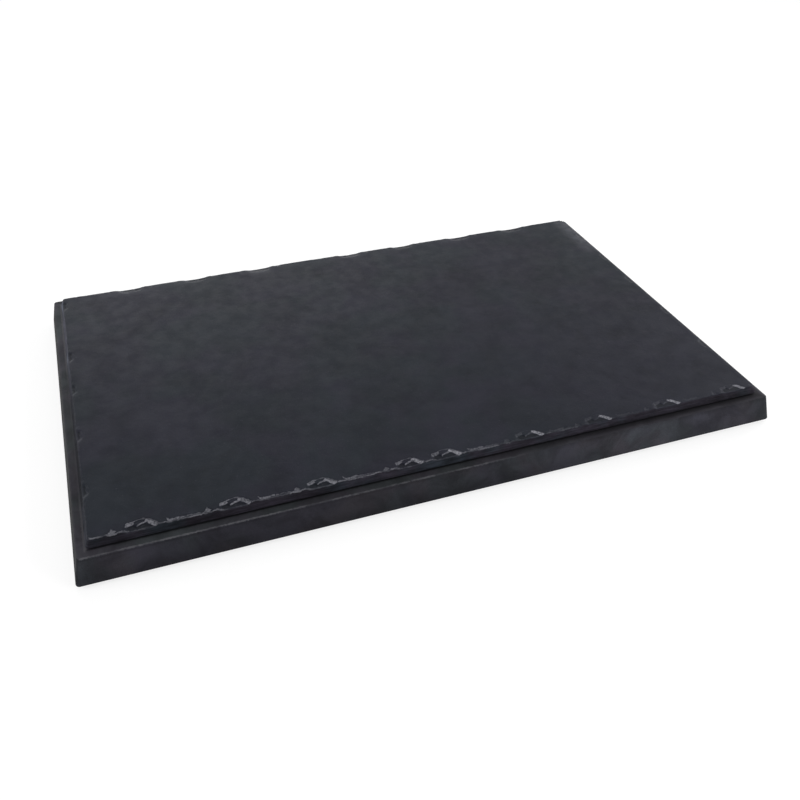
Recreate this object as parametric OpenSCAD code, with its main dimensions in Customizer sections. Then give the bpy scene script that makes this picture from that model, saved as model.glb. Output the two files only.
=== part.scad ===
// Two-tier slate-look serving board.
// A thin plate with a chipped, hand-split look stands on a moulded plinth that is hollow below.
// A bead of adhesive holds the two together, and four push-in feet carry the plinth.
// The origin is on the table, below the middle of the board. X is along its length, +Z is up.

/* [Board] */
// Length of the plinth at its widest line, near its foot
board_l = 530; // [360:5:650]
// Width of the plinth at its widest line
board_w = 325; // [220:5:450]
// Rounding of the upright corners
corner_r = 2.5; // [2.2:0.1:5]

/* [Plinth] */
// Height of the plinth, from its rim to its top face
plinth_h = 21; // [18:0.5:30]
// How far each side of the plinth leans in, from its widest line to its top
plinth_draft = 4.5; // [1:0.5:8]
// Rounding of the plinth's lower edge
rim_round = 2; // [0.5:0.1:2.1]
// Softening of the plinth's upper edge
ledge_round = 0.6; // [0.3:0.1:1]
// Thickness of the plinth's skirt
skirt_t = 4; // [3:0.5:6]
// Thickness of the plinth's deck
deck_t = 4; // [3:0.5:6]
// Rounding of the upright corners inside the skirt
inner_corner_r = 6; // [3:0.5:12]
// Rounding where the skirt meets the deck inside
inner_round = 2; // [0.5:0.5:2.5]

/* [Ribs] */
// Thickness of a rib at its free edge
rib_t = 2.4; // [1.5:0.1:4]
// How much thicker each side of a rib is at the deck
rib_draft = 0.5; // [0:0.1:1]
// Depth of the ribs below the deck
rib_h = 10; // [4:0.5:12]
// Distance of the cross ribs from the middle of the board
cross_rib_x = 88; // [60:1:120]

/* [Plate] */
// Thickness of the plate
plate_t = 7; // [5:0.5:12]
// How far each side of the plate leans in, from its widest line to its top
plate_draft = 2.5; // [0.5:0.1:4]
// Width of the ledge of plinth that shows round the plate
ledge_w = 6.1; // [3:0.1:12]
// Height and depth of the relief along the foot of the plate
relief = 1.2; // [0.3:0.1:2]
// Softening of the plate's upper edge
plate_round = 0.4; // [0.2:0.1:0.8]

/* [Chipped edge] */
// Length of a flake scar along the edge
flake_l = 21; // [12:0.5:26]
// How far a flake scar reaches into the top face
flake_reach = 9; // [4:0.5:12]
// Depth of a flake scar where it meets the top face
flake_step = 0.4; // [0.2:0.1:0.8]
// Depth of a flake scar at the edge
flake_drop = 0.9; // [0.8:0.1:1.2]
// Depth of the second, smaller scar at the edge
scar_drop = 1.5; // [1.3:0.1:3]
// Length of the shallow chip that follows a flake scar
lip_l = 23; // [8:0.5:24]
// How far the shallow chip reaches into the top face
lip_reach = 4; // [1.5:0.1:5]
// Depth of the shallow chip and the nick at the edge
lip_drop = 0.6; // [0.4:0.1:1.5]
// Gap between a flake scar and the shallow chip after it
lip_gap = 4.5; // [2:0.5:8]
// Length of a nick along the edge
nick_l = 5; // [3:0.5:7]
// How far a nick reaches into the top face
nick_reach = 5; // [2:0.5:6]
// Distance from the end of a flake scar back to the nick before it
nick_gap = 31.5; // [31:0.5:33]
// Size of the chips on the short sides, as a share of those on the long sides
side_share = 0.62; // [0.4:0.01:1]
// Size of the chip at the blunted back right corner
corner_chip = 4; // [2:0.5:8]

/* [Adhesive bead] */
// Width of the groove in the deck for the bead
groove_w = 8; // [5:0.5:12]
// Depth of that groove
groove_d = 1.5; // [0.8:0.1:2]
// Distance from the foot of the plate to the groove
groove_inset = 12; // [6:1:30]
// Outer corner radius of the groove
groove_corner_r = 14; // [13:0.5:20]
// Room between the bead and each wall of its groove
bead_gap = 0.6; // [0.2:0.1:1.2]

/* [Feet] */
// Diameter of a foot
foot_d = 14; // [10:0.5:18]
// Thickness of a foot's head
foot_head = 3; // [2.5:0.1:4]
// How far the feet stand out below the plinth's rim
foot_proud = 1.5; // [1:0.1:2]
// Rounding of a foot's lower edge
foot_round = 0.8; // [0.3:0.1:1]
// Distance from the plinth's sides to the middle of a foot
foot_inset = 34; // [26:1:45]
// Diameter of the socket for a foot's stem
socket_d = 6; // [4:0.1:8]
// Depth of the socket
socket_depth = 11; // [9:0.5:13]
// Length of a foot's stem
stem_l = 9.5; // [6:0.5:10.5]
// Room round the stem's barbs in the socket
stem_clearance = 0.05; // [0.02:0.01:0.1]
// How much slimmer the stem is between its barbs
barb_h = 0.6; // [0.3:0.1:0.9]
// Diameter of the boss round a socket
boss_d = 19; // [18.2:0.1:24]
// How much wider the boss is at the deck
boss_draft = 0.6; // [0:0.1:1.5]
// Thickness of the webs that tie a boss to the skirt
web_t = 2.4; // [1.5:0.1:4]
// How far the webs stop short of the boss's lower face
web_step = 3; // [1:0.5:6]

/* [Hidden] */

corner_fn = 32;
round_fn = 64;
// Thickness of the thin discs that a drafted block is stretched over
disc_t = 0.01;
// How far a cut runs past the face that it opens
overrun = 1;
// Steps of a quarter round
round_steps = 3;

// Heights above the table
rim_z = foot_proud;
ledge_z = rim_z + plinth_h;
deck_z = ledge_z - deck_t;
boss_z = foot_head;

// How far the plinth's sides move in per height
plinth_lean = plinth_draft / (plinth_h - rim_round);
// The plate at its widest, set in by the ledge from the top of the plinth
plate_l = board_l - 2 * (plinth_draft + ledge_w);
plate_w = board_w - 2 * (plinth_draft + ledge_w);
// The plate's top face
face_l = plate_l - 2 * plate_draft;
face_w = plate_w - 2 * plate_draft;

// Middles of the feet
foot_x = board_l / 2 - foot_inset;
foot_y = board_w / 2 - foot_inset;

// Places of the flake scars along each edge, by the end of each scar, as shares of that edge
front_shares = [-0.412, -0.292, -0.175, -0.05, 0.008, 0.137, 0.249, 0.367, 0.485];
back_shares = [-0.38, -0.257, -0.119, 0.017, 0.174, 0.299, 0.42];
left_shares = [-0.31, -0.16, -0.01, 0.18, 0.375];
right_shares = [-0.27, -0.09, 0.1, 0.25, 0.4];

// Outlines as shares of a chip's length and of its reach into the top face
flake_shares = [[0.06, 0], [-0.11, 0.51], [-0.29, 0.87], [-0.47, 1], [-0.7, 0.91], [-0.99, 0.71], [-1.02, 0.42],
    [-1.12, 0]];
scar_shares = [[-0.04, 0], [-0.21, 0.53], [-0.33, 0.71], [-0.57, 0.58], [-0.69, 0.56], [-0.72, 0.8],
    [-0.97, 0.66], [-1.04, 0]];
lip_shares = [[0, 0], [0.03, 1], [0.11, 0.55], [0.5, 0.58], [0.98, 0.4], [1, 0]];
nick_shares = [[0, 0], [0.28, 0.75], [0.5, 1], [0.72, 0.7], [1, 0]];

// Quarter round of radius r, as pairs of height above its lower face and inset from its side
function quarter_low(r) = [for (i = [0 : round_steps])
    [r * (1 - sin(90 * i / round_steps)), r * (1 - cos(90 * i / round_steps))]];

// Quarter round of radius r below height h, as pairs of height and inset
function quarter_high(h, r) = [for (i = [0 : round_steps])
    [h - r * (1 - sin(90 * i / round_steps)), r * (1 - cos(90 * i / round_steps))]];

// A block with leaning sides, l by w at height wide_z. rings holds pairs of height and inset, and
// lean is how far a side moves in per height.
module drafted_block(l, w, r, lean, wide_z, rings) {
    hull()
        for (ring = rings)
            for (sx = [-1, 1])
                for (sy = [-1, 1]) {
                    in = r + lean * (ring[0] - wide_z);
                    z = min(ring[0], max([for (other = rings) other[0]]) - disc_t);
                    translate([sx * (l / 2 - in), sy * (w / 2 - in), z])
                        cylinder(h = disc_t, r = r - ring[1], $fn = corner_fn);
                }
}

// A flat rounded rectangle
module rounded_plan(l, w, r) {
    square([l - 2 * r, w], center = true);
    square([l, w - 2 * r], center = true);
    for (sx = [-1, 1])
        for (sy = [-1, 1])
            translate([sx * (l / 2 - r), sy * (w / 2 - r)])
                circle(r = r, $fn = round_fn);
}

// A closed band of width band_w, l by w outside
module ring_plan(l, w, r, band_w) {
    difference() {
        rounded_plan(l, w, r);
        rounded_plan(l - 2 * band_w, w - 2 * band_w, r - band_w);
    }
}

// What a chip takes away. The edge runs along X at the origin, and the top face is on +Y.
// Its floor is step below the face at its full reach and drop below it at the edge.
module chip(shares, l, reach, step, drop) {
    out = plate_draft + overrun;
    ends = [[shares[len(shares) - 1][0] * l, -out], [shares[0][0] * l, -out]];
    outline = [for (s = shares) [s[0] * l, s[1] * reach]];
    translate([0, 0, -drop])
        rotate([atan((drop - step) / reach), 0, 0])
            linear_extrude(height = drop + overrun)
                polygon(concat(outline, ends));
}

// One flake scar with a smaller, deeper scar in it. size is its share of the full size.
module flake(size) {
    chip(flake_shares, size * flake_l, size * flake_reach, size * flake_step, size * flake_drop);
    chip(scar_shares, size * flake_l, size * flake_reach, size * flake_drop, size * scar_drop);
}

// The shallow chip that follows a flake scar
module lip(size) {
    translate([size * lip_gap, 0, 0])
        chip(lip_shares, size * lip_l, size * lip_reach, 0, size * lip_drop);
}

// The nick that stands before a flake scar
module nick(size) {
    translate([-size * nick_gap, 0, 0])
        chip(nick_shares, size * nick_l, size * nick_reach, 0, size * lip_drop);
}

// The chips of one edge, edge_l long. Where two scars stand close, there is nothing between them.
module chipped_edge(edge_l, shares, size) {
    room = size * (nick_gap + lip_gap);
    for (i = [0 : len(shares) - 1]) {
        here = shares[i] * edge_l;
        last = i > 0 ? shares[i - 1] * edge_l : -edge_l;
        next = i < len(shares) - 1 ? shares[i + 1] * edge_l : edge_l / 2 + flake_l;
        translate([here, 0, 0]) {
            flake(size);
            if (here - last > room) nick(size);
            if (next - here > room) lip(size);
        }
    }
}

module plate_body() {
    rings = concat([[0, relief], [relief, 0]], quarter_high(plate_t, plate_round));
    lean = plate_draft / (plate_t - relief);
    drafted_block(plate_l, plate_w, corner_r, lean, relief, rings);
}

module slate_plate() {
    color([0.24, 0.24, 0.26])
        translate([0, 0, ledge_z])
            difference() {
                plate_body();
                translate([0, 0, plate_t]) {
                    translate([0, -face_w / 2, 0]) chipped_edge(face_l, front_shares, 1);
                    rotate(180) translate([0, -face_w / 2, 0]) chipped_edge(face_l, back_shares, 1);
                    rotate(90) translate([0, -face_l / 2, 0]) chipped_edge(face_w, right_shares, side_share);
                    rotate(-90) translate([0, -face_l / 2, 0]) chipped_edge(face_w, left_shares, side_share);
                    translate([face_l / 2, face_w / 2, 0])
                        rotate(45)
                            cube([corner_chip, 2 * corner_chip, corner_chip], center = true);
                }
            }
}

// The plinth's outer form, with its rim at height zero
module plinth_body() {
    rings = concat(quarter_low(rim_round), quarter_high(plinth_h, ledge_round));
    drafted_block(board_l, board_w, corner_r, plinth_lean, rim_round, rings);
}

// The hollow under the deck, with its rim at height zero
module plinth_hollow() {
    rings = concat([[-overrun, 0]], quarter_high(plinth_h - deck_t, inner_round));
    l = board_l - 2 * skirt_t;
    w = board_w - 2 * skirt_t;
    drafted_block(l, w, inner_corner_r, plinth_lean, rim_round, rings);
}

// A rib along X, centred, that hangs h below height zero
module rib(l, t, h) {
    edge = t / 2;
    root = edge + rib_draft;
    rotate([90, 0, 90])
        linear_extrude(height = l, center = true)
            polygon([[-edge, -h], [edge, -h], [root, 0], [root, overrun], [-root, overrun], [-root, 0]]);
}

module ribs() {
    rib(board_l, rib_t, rib_h);
    for (s = [-1, 1])
        translate([s * cross_rib_x, 0, 0])
            rotate(90)
                rib(board_w, rib_t, rib_h);
}

// A boss with the two webs that tie it to the skirt, below height zero
module boss(h) {
    translate([0, 0, -h])
        cylinder(h = h + overrun, r1 = boss_d / 2, r2 = boss_d / 2 + boss_draft, $fn = round_fn);
    for (turn = [0, 90])
        rotate(turn)
            translate([foot_inset / 2, 0, 0])
                rib(foot_inset, web_t, h - web_step);
}

module at_feet() {
    for (turn = [0, 1])
        for (flip = [0, 1])
            mirror([turn, 0, 0])
                mirror([0, flip, 0])
                    translate([foot_x, foot_y, 0])
                        children();
}

module groove_plan() {
    ring_plan(plate_l - 2 * groove_inset, plate_w - 2 * groove_inset, groove_corner_r, groove_w);
}

module bead_plan() {
    in = groove_inset + bead_gap;
    ring_plan(plate_l - 2 * in, plate_w - 2 * in, groove_corner_r - bead_gap, groove_w - 2 * bead_gap);
}

module plinth() {
    color([0.19, 0.19, 0.21])
        difference() {
            translate([0, 0, rim_z]) plinth_body();
            difference() {
                translate([0, 0, rim_z]) plinth_hollow();
                translate([0, 0, deck_z]) {
                    ribs();
                    at_feet() boss(deck_z - boss_z);
                }
            }
            translate([0, 0, ledge_z - groove_d])
                linear_extrude(height = groove_d + overrun)
                    groove_plan();
            at_feet()
                translate([0, 0, boss_z - overrun])
                    cylinder(h = socket_depth + overrun, d = socket_d, $fn = round_fn);
        }
}

module adhesive_bead() {
    color([0.4, 0.4, 0.4])
        translate([0, 0, ledge_z - groove_d])
            linear_extrude(height = groove_d)
                bead_plan();
}

// A push-in foot with a barbed stem, seated against its boss
module foot(sx, sy) {
    barb_r = socket_d / 2 - stem_clearance;
    core_r = barb_r - barb_h;
    tooth = stem_l / 4;
    stem = [for (i = [1 : 3]) each [[core_r, foot_head + i * tooth - tooth / 2],
        [barb_r, foot_head + i * tooth], [core_r, foot_head + i * tooth + tooth / 2]]];
    head = [for (q = quarter_low(foot_round)) [foot_d / 2 - q[1], q[0]]];
    outline = concat([[0, 0]], [for (i = [len(head) - 1 : -1 : 0]) head[i]],
        [[foot_d / 2, foot_head], [core_r, foot_head]], stem, [[core_r, foot_head + stem_l], [0, foot_head + stem_l]]);
    color([0.1, 0.1, 0.11])
        translate([sx * foot_x, sy * foot_y, 0])
            rotate_extrude($fn = round_fn)
                polygon(outline);
}

module foot_front_left() { foot(-1, -1); }
module foot_front_right() { foot(1, -1); }
module foot_back_left() { foot(-1, 1); }
module foot_back_right() { foot(1, 1); }

slate_plate();
plinth();
adhesive_bead();
foot_front_left();
foot_front_right();
foot_back_left();
foot_back_right();
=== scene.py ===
"""Two-tier slate serving board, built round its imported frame, on a pale studio floor."""

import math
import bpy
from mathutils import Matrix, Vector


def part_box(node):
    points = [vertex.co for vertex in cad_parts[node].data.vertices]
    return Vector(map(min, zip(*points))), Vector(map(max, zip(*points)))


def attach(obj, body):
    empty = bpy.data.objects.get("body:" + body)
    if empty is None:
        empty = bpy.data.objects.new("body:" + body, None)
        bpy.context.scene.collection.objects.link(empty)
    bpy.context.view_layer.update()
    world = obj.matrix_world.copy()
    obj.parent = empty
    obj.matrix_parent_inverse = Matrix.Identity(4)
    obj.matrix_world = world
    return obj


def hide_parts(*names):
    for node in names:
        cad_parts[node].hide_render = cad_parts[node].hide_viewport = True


bl_info = {
    "name": "Slate Serving Board",
    "version": (1, 0, 0),
    "blender": (4, 5, 0),
    "location": "3D View > Sidebar > Board",
    "description": "Builds the plate, plinth and feet of a two-tier slate serving board",
    "category": "Object",
}

import bpy
import numpy as np
from bpy.props import FloatProperty, FloatVectorProperty, IntProperty, PointerProperty
from mathutils import Matrix, Vector

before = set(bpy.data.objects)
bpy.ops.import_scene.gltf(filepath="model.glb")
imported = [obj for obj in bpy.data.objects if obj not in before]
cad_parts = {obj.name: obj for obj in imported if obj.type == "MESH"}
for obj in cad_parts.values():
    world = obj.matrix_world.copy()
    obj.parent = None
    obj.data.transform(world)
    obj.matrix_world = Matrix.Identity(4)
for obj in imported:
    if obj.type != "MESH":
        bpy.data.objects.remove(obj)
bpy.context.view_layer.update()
PLATE_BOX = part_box("slate_plate")
PLINTH_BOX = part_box("plinth")
FEET = sorted(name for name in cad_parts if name.startswith("foot_"))

MM = 0.001


# Properties


class PlateSettings(bpy.types.PropertyGroup):
    """Sizes and colours of the plate."""

    draft: FloatProperty(
        name="Draft", description="How far each side leans in", default=2.5 * MM, unit="LENGTH"
    )
    corner: FloatProperty(
        name="Corner", description="Radius of the upright corners", default=2.5 * MM, unit="LENGTH"
    )
    relief: FloatProperty(
        name="Relief", description="Chamfer along the foot", default=1.2 * MM, unit="LENGTH"
    )
    arris: FloatProperty(
        name="Arris", description="Softening of the upper edge", default=0.35 * MM, unit="LENGTH"
    )
    step: FloatProperty(
        name="Step", description="Spacing of points along the edge", default=0.56 * MM, unit="LENGTH"
    )
    face_step: FloatProperty(
        name="Face step", description="Spacing of points on the face", default=2.9 * MM, unit="LENGTH"
    )
    riven: FloatProperty(
        name="Riven relief", description="Depth of the split surface", default=0.3 * MM, unit="LENGTH"
    )
    flake: FloatProperty(
        name="Flake", description="Length of a flake scar", default=21 * MM, unit="LENGTH"
    )
    reach: FloatProperty(
        name="Reach", description="How far a scar reaches into the face", default=9 * MM, unit="LENGTH"
    )
    blunt: FloatProperty(
        name="Blunted corner", description="Chip at the back right corner", default=2 * MM, unit="LENGTH"
    )
    colour: FloatVectorProperty(
        name="Slate", description="Colour of the face", default=(0.0128, 0.0136, 0.0178), subtype="COLOR"
    )
    # Colour of fresh chips, and also of the painted highlights on the chips and the upper edge.
    pale: FloatVectorProperty(
        name="Chips", description="Colour of fresh chips", default=(0.26, 0.26, 0.29), subtype="COLOR"
    )
    side: FloatVectorProperty(
        name="Sides", description="Colour of the sides", default=(0.0101, 0.0106, 0.0135), subtype="COLOR"
    )


class PlinthSettings(bpy.types.PropertyGroup):
    """Sizes and colours of the plinth."""

    draft: FloatProperty(
        name="Draft", description="How far each side leans in", default=4.5 * MM, unit="LENGTH"
    )
    corner: FloatProperty(
        name="Corner", description="Radius of the upright corners", default=2.5 * MM, unit="LENGTH"
    )
    rim: FloatProperty(
        name="Rim", description="Rounding of the lower edge", default=2 * MM, unit="LENGTH"
    )
    arris: FloatProperty(
        name="Arris", description="Rounding of the upper edge", default=0.6 * MM, unit="LENGTH"
    )
    skirt: FloatProperty(
        name="Skirt", description="Thickness of the skirt", default=4 * MM, unit="LENGTH"
    )
    deck: FloatProperty(
        name="Deck", description="Thickness of the deck", default=4 * MM, unit="LENGTH"
    )
    colour: FloatVectorProperty(
        name="Plinth", description="Colour of the moulding", default=(0.0203, 0.0205, 0.025), subtype="COLOR"
    )
    # Lighter than the walls of the same moulding: painted light on this upward face.
    ledge: FloatVectorProperty(
        name="Ledge", description="Colour of the ledge", default=(0.03, 0.0305, 0.033), subtype="COLOR"
    )
    # Colour of the upper edge's wear, also used for its painted highlight and for a painted light line on the
    # ledge.
    wear_and_highlight: FloatVectorProperty(
        name="Wear", description="Colour of rubbed edges", default=(0.1, 0.1, 0.11), subtype="COLOR"
    )


class FootSettings(bpy.types.PropertyGroup):
    """Sizes and colours of the feet and the bead."""

    sides: IntProperty(name="Sides", description="Points round a foot", default=72, min=24)
    colour: FloatVectorProperty(
        name="Rubber", description="Colour of the feet", default=(0.014, 0.014, 0.015), subtype="COLOR"
    )
    bead: FloatVectorProperty(
        name="Bead", description="Colour of the adhesive", default=(0.3, 0.3, 0.3), subtype="COLOR"
    )


class StageSettings(bpy.types.PropertyGroup):
    """The camera and the floor."""

    lens: FloatProperty(name="Lens", description="Focal length", default=36.983, unit="CAMERA")
    shift: FloatProperty(name="Shift", description="Sideways shift of the frame", default=0.04646)
    place: FloatVectorProperty(
        name="Camera", description="Its place", unit="LENGTH", default=(-0.202227, -0.531608, 0.419511)
    )
    forward: FloatVectorProperty(
        name="View", description="Where it looks", subtype="DIRECTION", default=(0.254037, 0.73789, -0.625287)
    )
    upward: FloatVectorProperty(
        name="Up", description="Its upper side", subtype="DIRECTION", default=(0.195635, 0.59393, 0.780368)
    )
    floor: FloatVectorProperty(
        name="Floor", description="Colour of the floor", subtype="COLOR", default=(0.85, 0.85, 0.85)
    )


# Noise


def value_noise(x, y, cell, seed):
    """Smooth noise from -1 to 1 with one free value per cell."""
    table = np.random.default_rng(seed).uniform(-1, 1, (256, 256))
    gx, gy = x / cell, y / cell
    ix, iy = np.floor(gx).astype(int), np.floor(gy).astype(int)
    fx, fy = gx - ix, gy - iy
    fx, fy = fx * fx * (3 - 2 * fx), fy * fy * (3 - 2 * fy)

    def at(i, j):
        return table[(ix + i) % 256, (iy + j) % 256]

    low = at(0, 0) * (1 - fx) + at(1, 0) * fx
    high = at(0, 1) * (1 - fx) + at(1, 1) * fx
    return low * (1 - fy) + high * fy


def cloud_noise(x, y, cell, seed, octaves=4):
    """Noise from about -1 to 1 with ever finer detail."""
    total = sum(value_noise(x, y, cell / 2**k, seed + k) / 2**k for k in range(octaves))
    return total / 1.5


def smooth(low, high, value):
    """0 below low, 1 above high and a smooth rise between."""
    t = np.clip((value - low) / (high - low), 0, 1)
    return t * t * (3 - 2 * t)


# Meshes


def solid(name, points, faces, matrix=Matrix()):
    """A mesh object of those points and faces, moved by a matrix."""
    mesh = bpy.data.meshes.new(name)
    mesh.from_pydata(points, [], faces)
    mesh.transform(matrix)
    mesh.update()
    piece = bpy.data.objects.new(name, mesh)
    bpy.context.scene.collection.objects.link(piece)
    return piece


class Loop:
    """Points round a rectangle, anticlockwise from the front left, for any size and corner radius."""

    SIDES = (((-1, -1), (1, -1)), ((1, -1), (1, 1)), ((1, 1), (-1, 1)), ((-1, 1), (-1, -1)))

    def __init__(self, length, width, steps, corner_steps):
        anchors, angles, places = [], [], []
        for side, (start, end) in enumerate(self.SIDES):
            count = max(1, round((width if side % 2 else length) / steps[side]))
            share = np.linspace(0, 1, count + 1)[:, None]
            turns = np.arange(1, corner_steps) / corner_steps
            anchors += [np.subtract(1, share) * start + share * end, np.tile(end, (len(turns), 1))]
            angles += [np.full(len(share), side - 1.0), side - 1 + turns]
            places += [side + share[:, 0], np.full(len(turns), side + 1.0)]
        angle = np.concatenate(angles) * math.pi / 2
        self.anchor = np.concatenate(anchors)
        self.normal = np.stack([np.cos(angle), np.sin(angle)], 1)
        self.place = np.concatenate(places)

    def at(self, half, inset, radius):
        """The loop's points in plan, inset from a rectangle of those half sizes."""
        inset, radius = np.reshape(inset, (-1, 1)), np.reshape(radius, (-1, 1))
        return self.anchor * (np.asarray(half) - inset - radius) + radius * self.normal


class Skin:
    """A closed skin, built from loops that run from below, outwards, up the side and in over the top."""

    def __init__(self):
        self.points, self.faces, self.count = [], [], 0

    def add(self, plan, height):
        """Adds points and returns their numbers."""
        height = np.broadcast_to(height, len(plan))
        self.points.append(np.column_stack([plan, height]))
        numbers = np.arange(self.count, self.count + len(plan))
        self.count += len(plan)
        return numbers

    def bridge(self, first, second):
        """Joins two loops of as many points with quads."""
        a, b = np.roll(first, -1), np.roll(second, -1)
        self.faces += np.column_stack([first, a, b, second]).tolist()

    def weave(self, first, first_place, second, second_place):
        """Joins two loops of different counts with triangles."""
        i = j = 0
        n, m = len(first), len(second)
        ends_a = np.append(first_place[1:], 4.0)
        ends_b = np.append(second_place[1:], 4.0)
        while i < n or j < m:
            if j >= m or (i < n and ends_a[i] <= ends_b[j]):
                self.faces.append([int(first[i]), int(first[(i + 1) % n]), int(second[j % m])])
                i += 1
            else:
                self.faces.append([int(first[i % n]), int(second[(j + 1) % m]), int(second[j])])
                j += 1

    def cap(self, loop, numbers, half, step, height, upward=True):
        """Closes a loop with a grid of squares. height is a number or a function of x and y."""
        nx, ny = (max(2, round(2 * h / step)) for h in half)
        columns, rows = (np.linspace(-h, h, n + 1) for h, n in zip(half, (nx, ny)))
        x, y = np.meshgrid(columns, rows)
        plan = np.column_stack([x.ravel(), y.ravel()])
        level = height(plan[:, 0], plan[:, 1]) if callable(height) else height
        grid = self.add(plan, level).reshape(ny + 1, nx + 1)
        edge = np.concatenate([grid[0, :-1], grid[:-1, -1], grid[-1, :0:-1], grid[:0:-1, 0]])
        shares = [np.arange(n) / n for n in (nx, ny, nx, ny)]
        place = np.concatenate([side + share for side, share in enumerate(shares)])
        quads = np.stack([grid[:-1, :-1], grid[:-1, 1:], grid[1:, 1:], grid[1:, :-1]], -1).reshape(-1, 4)
        if upward:
            self.faces += quads.tolist()
            self.weave(numbers, loop.place, edge, place)
        else:
            self.faces += quads[:, ::-1].tolist()
            self.weave(edge, place, numbers, loop.place)

    def build(self, name):
        """A mesh object of the skin."""
        return solid(name, np.concatenate(self.points).tolist(), self.faces)


def shade(piece, degrees):
    """Smooth shading, with edges over that angle left sharp."""
    piece.data.shade_smooth()
    piece.data.set_sharp_from_angle(angle=math.radians(degrees))


def set_values(piece, values):
    """Stores named values, one per point, for the materials to read."""
    for name, numbers in values.items():
        layer = piece.data.attributes.new(name, "FLOAT", "POINT")
        layer.data.foreach_set("value", np.asarray(numbers, np.float32))


def get_points(piece):
    """The piece's points as an array."""
    points = np.empty(len(piece.data.vertices) * 3, np.float32)
    piece.data.vertices.foreach_get("co", points)
    return points.reshape(-1, 3).astype(float)


# Chips along the plate's edges

# Places of the flake scars, by the end of each scar, as shares of the edge they lie on
FLAKE_SHARES = {
    "front": (-0.412, -0.292, -0.175, -0.05, 0.008, 0.137, 0.249, 0.367, 0.485),
    "back": (-0.356, -0.239, -0.12, -0.011, 0.17, 0.289, 0.408),
    "left": (-0.43, -0.16, -0.01, 0.18, 0.375),
    "right": (-0.27, -0.09, 0.1, 0.25, 0.4),
}
# Outlines of the cuts, as shares of a flake's length and of its reach into the face
CUTS = {
    "hood": (
        (0.04, 0), (0.02, 0.1), (-0.1, 0.4), (-0.24, 0.68), (-0.42, 0.86), (-0.6, 0.8), (-0.75, 0.74),
        (-0.98, 0.62), (-1.02, 0.38), (-1.12, 0),
    ),
    "step": (
        (-0.04, 0), (-0.07, 0.13), (-0.2, 0.48), (-0.33, 0.68), (-0.43, 0.6), (-0.57, 0.47), (-0.68, 0.44),
        (-0.7, 0.68), (-0.81, 0.66), (-0.98, 0.56), (-1, 0.34), (-1.05, 0),
    ),
    "floor": (
        (-0.15, 0), (-0.27, 0.18), (-0.36, 0.36), (-0.43, 0.4), (-0.64, 0.26), (-0.72, 0.46), (-0.93, 0.36),
        (-0.95, 0),
    ),
    "lip": ((0.2, 0), (0.2, 0.38), (0.235, 0.38), (0.32, 0.2), (0.74, 0.22), (1.3, 0.15), (1.33, 0)),
    "nick": ((-1.2, 0), (-1.25, 0.2), (-1.32, 0.28), (-1.38, 0.5), (-1.44, 0.3), (-1.53, 0)),
}
# Facets that catch the light, each with its paleness and then its outline. The paleness is partly the paler
# fresh break and partly a painted highlight.
FACETS = (
    (0.62, (-1.0, 0.33), (-0.99, 0.52), (-0.88, 0.62), (-0.72, 0.7), (-0.7, 0.52), (-0.86, 0.4)),
    (0.6, (-0.67, 0.2), (-0.66, 0.36), (-0.5, 0.5), (-0.38, 0.6), (-0.33, 0.44), (-0.43, 0.4), (-0.57, 0.32)),
    (
        0.28, (-0.6, 0.78), (-0.42, 0.84), (-0.26, 0.66), (-0.1, 0.38), (0.02, 0.07), (-0.07, 0.13),
        (-0.2, 0.5), (-0.34, 0.7),
    ),
    (0.32, (-1.15, -0.02), (-1.1, 0.12), (-0.88, 0.1), (-0.86, -0.04)),
    (0.5, (0.2, 0.4), (0.235, 0.38), (0.32, 0.2), (0.74, 0.23), (0.77, 0.08), (0.33, 0.02), (0.27, 0.06)),
    (0.25, (0.77, 0.19), (1.3, 0.15), (1.3, 0.05), (0.77, 0.06)),
    (0.42, (-1.52, 0.04), (-1.43, 0.3), (-1.38, 0.48), (-1.33, 0.3), (-1.24, 0.16), (-1.33, 0.02)),
)
# The facet at the end of each flake, a paler break with a painted highlight that stays clear along the whole
# front edge
STROKE = (
    (-0.42, 0.58), (-0.37, 0.7), (-0.25, 0.64), (-0.14, 0.38), (-0.01, 0.06), (-0.05, -0.1), (-0.13, -0.08),
    (-0.24, 0.22), (-0.32, 0.43),
)
# Share of full size of the chips on each side
SIDE_SIZES = {"front": 1, "back": 1, "left": 0.62, "right": 0.62}
# Depth in millimetres of the soft hollow that each flake lies in
HOLLOWS = {"front": 0, "back": 0.9, "left": 0.3, "right": 0.3}
# Half the length and half the width of that hollow, in millimetres
HOLLOW_SIZE = (11, 6)
# Room between two flakes, in flake lengths, below which the lip and the nick are left out
ROOM = 1.72
# Distance in millimetres that stands for far away from every outline and edge
FAR_AWAY = 6.0


def outline_distance(u, v, outline):
    """Distance from an outline, below zero inside it."""
    nearest = np.full(u.shape, np.inf)
    inside = np.zeros(u.shape, bool)
    for (u0, v0), (u1, v1) in zip(outline, outline[1:] + outline[:1]):
        du, dv = u1 - u0, v1 - v0
        t = np.clip(((u - u0) * du + (v - v0) * dv) / (du * du + dv * dv), 0, 1)
        nearest = np.minimum(nearest, np.hypot(u - u0 - t * du, v - v0 - t * dv))
        crosses = (v0 > v) != (v1 > v)
        inside ^= crosses & (u < u0 + np.where(crosses, v - v0, 0) / (dv if dv else 1) * du)
    return np.where(inside, -nearest, nearest)


def sized(shares, settings, out=0.0):
    """An outline in real sizes. out carries both its ends on past the edge, so that it cuts the side too."""
    inner = [(a * settings.flake, b * settings.reach) for a, b in shares]
    return inner + [(inner[-1][0], -out), (inner[0][0], -out)] if out else inner


def edge_frame(side, x, y, half):
    """Distance along an edge and in from it, seen from outside with the edge running to the right."""
    return {
        "front": (x, y + half[1]),
        "back": (-x, half[1] - y),
        "left": (-y, x + half[0]),
        "right": (y, half[0] - x),
    }[side]


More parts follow.
